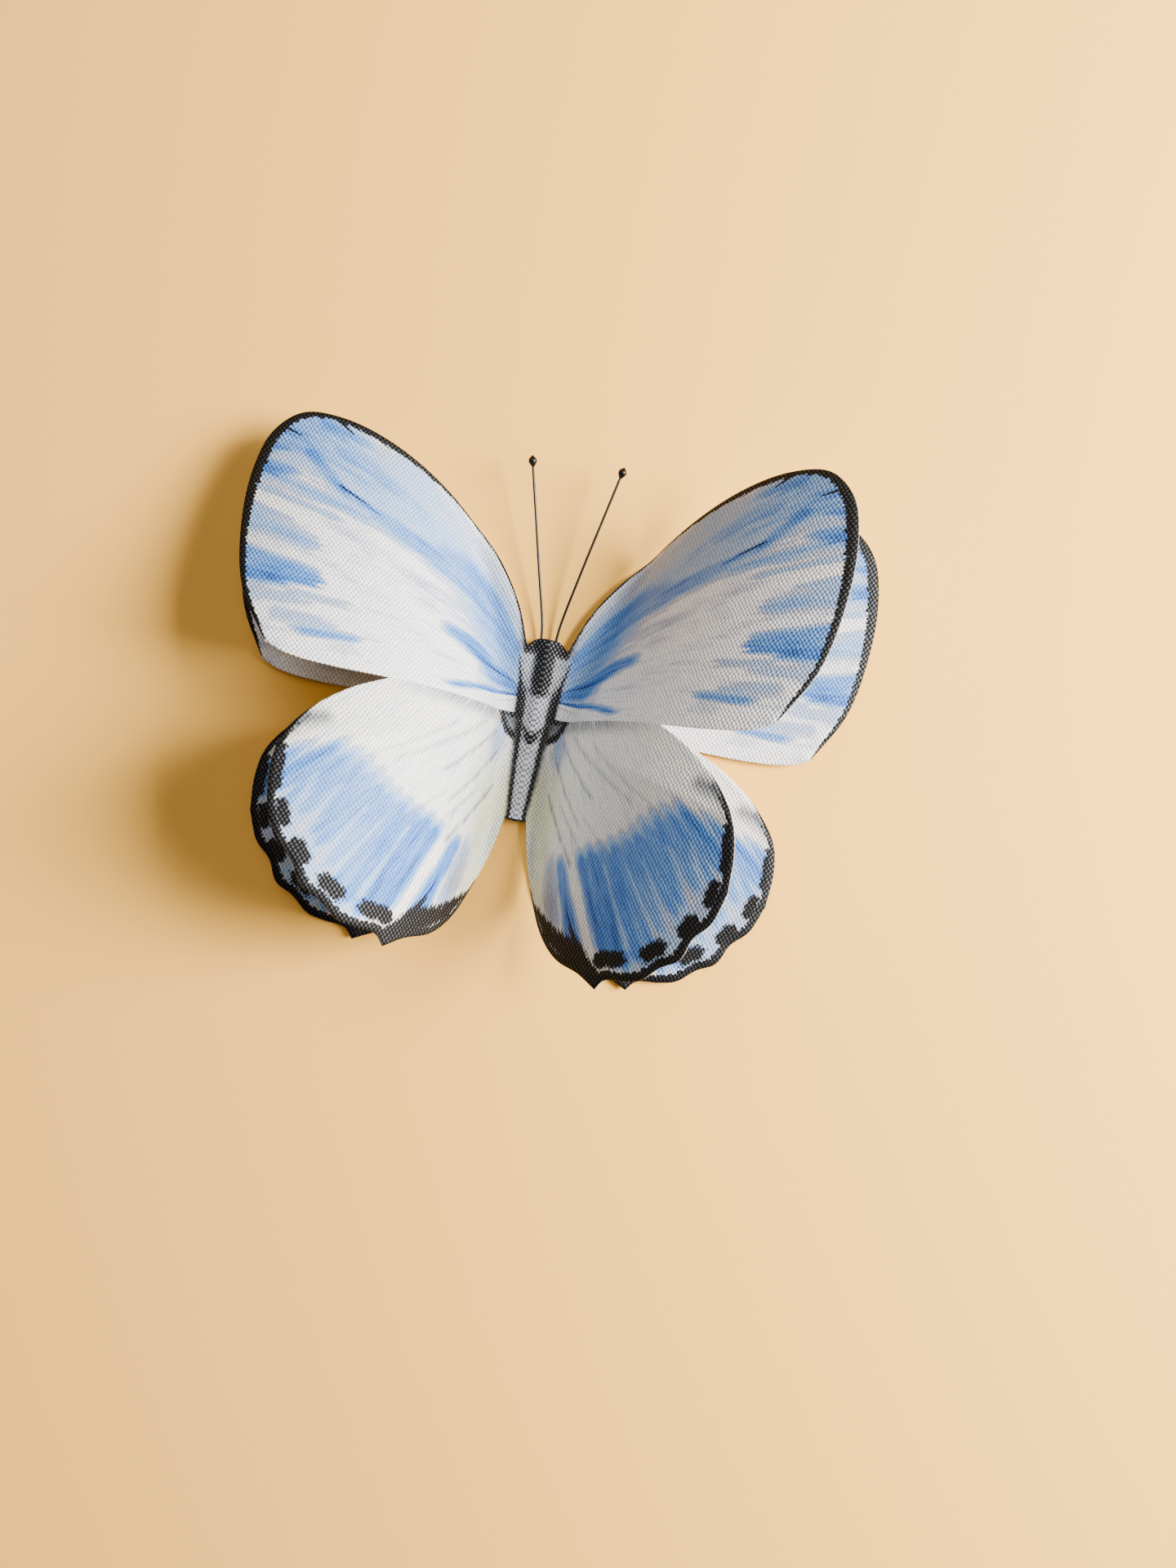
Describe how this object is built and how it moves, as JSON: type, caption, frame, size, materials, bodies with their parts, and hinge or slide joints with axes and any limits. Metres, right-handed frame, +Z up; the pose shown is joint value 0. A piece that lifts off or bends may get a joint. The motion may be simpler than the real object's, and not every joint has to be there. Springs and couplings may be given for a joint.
{
  "type": "fabric butterfly ornament",
  "caption": "Handmade butterfly of printed woven fabric in two layers, upper wings bent up from the body, lower wings nearly flat, with black wire antennae.",
  "frame": {"origin": "on the resting surface, under the middle of the body", "axes": "+Z up, +Y from the tail to the head, +X to the butterfly's right wings as seen from above"},
  "size_m": [0.0992, 0.0799, 0.027],
  "materials": {
    "printed_fabric_lower": "plain woven fabric with a printed wing pattern, matte",
    "printed_fabric_upper": "plain woven fabric with a printed wing pattern, matte",
    "black_wire": "black enamelled wire with a glossy lacquer drop"
  },
  "bodies": {
    "root": {"lower_wings": "printed_fabric_lower", "upper_wings": "printed_fabric_upper", "antenna_left": "black_wire", "antenna_right": "black_wire"}
  },
  "joints": []
}
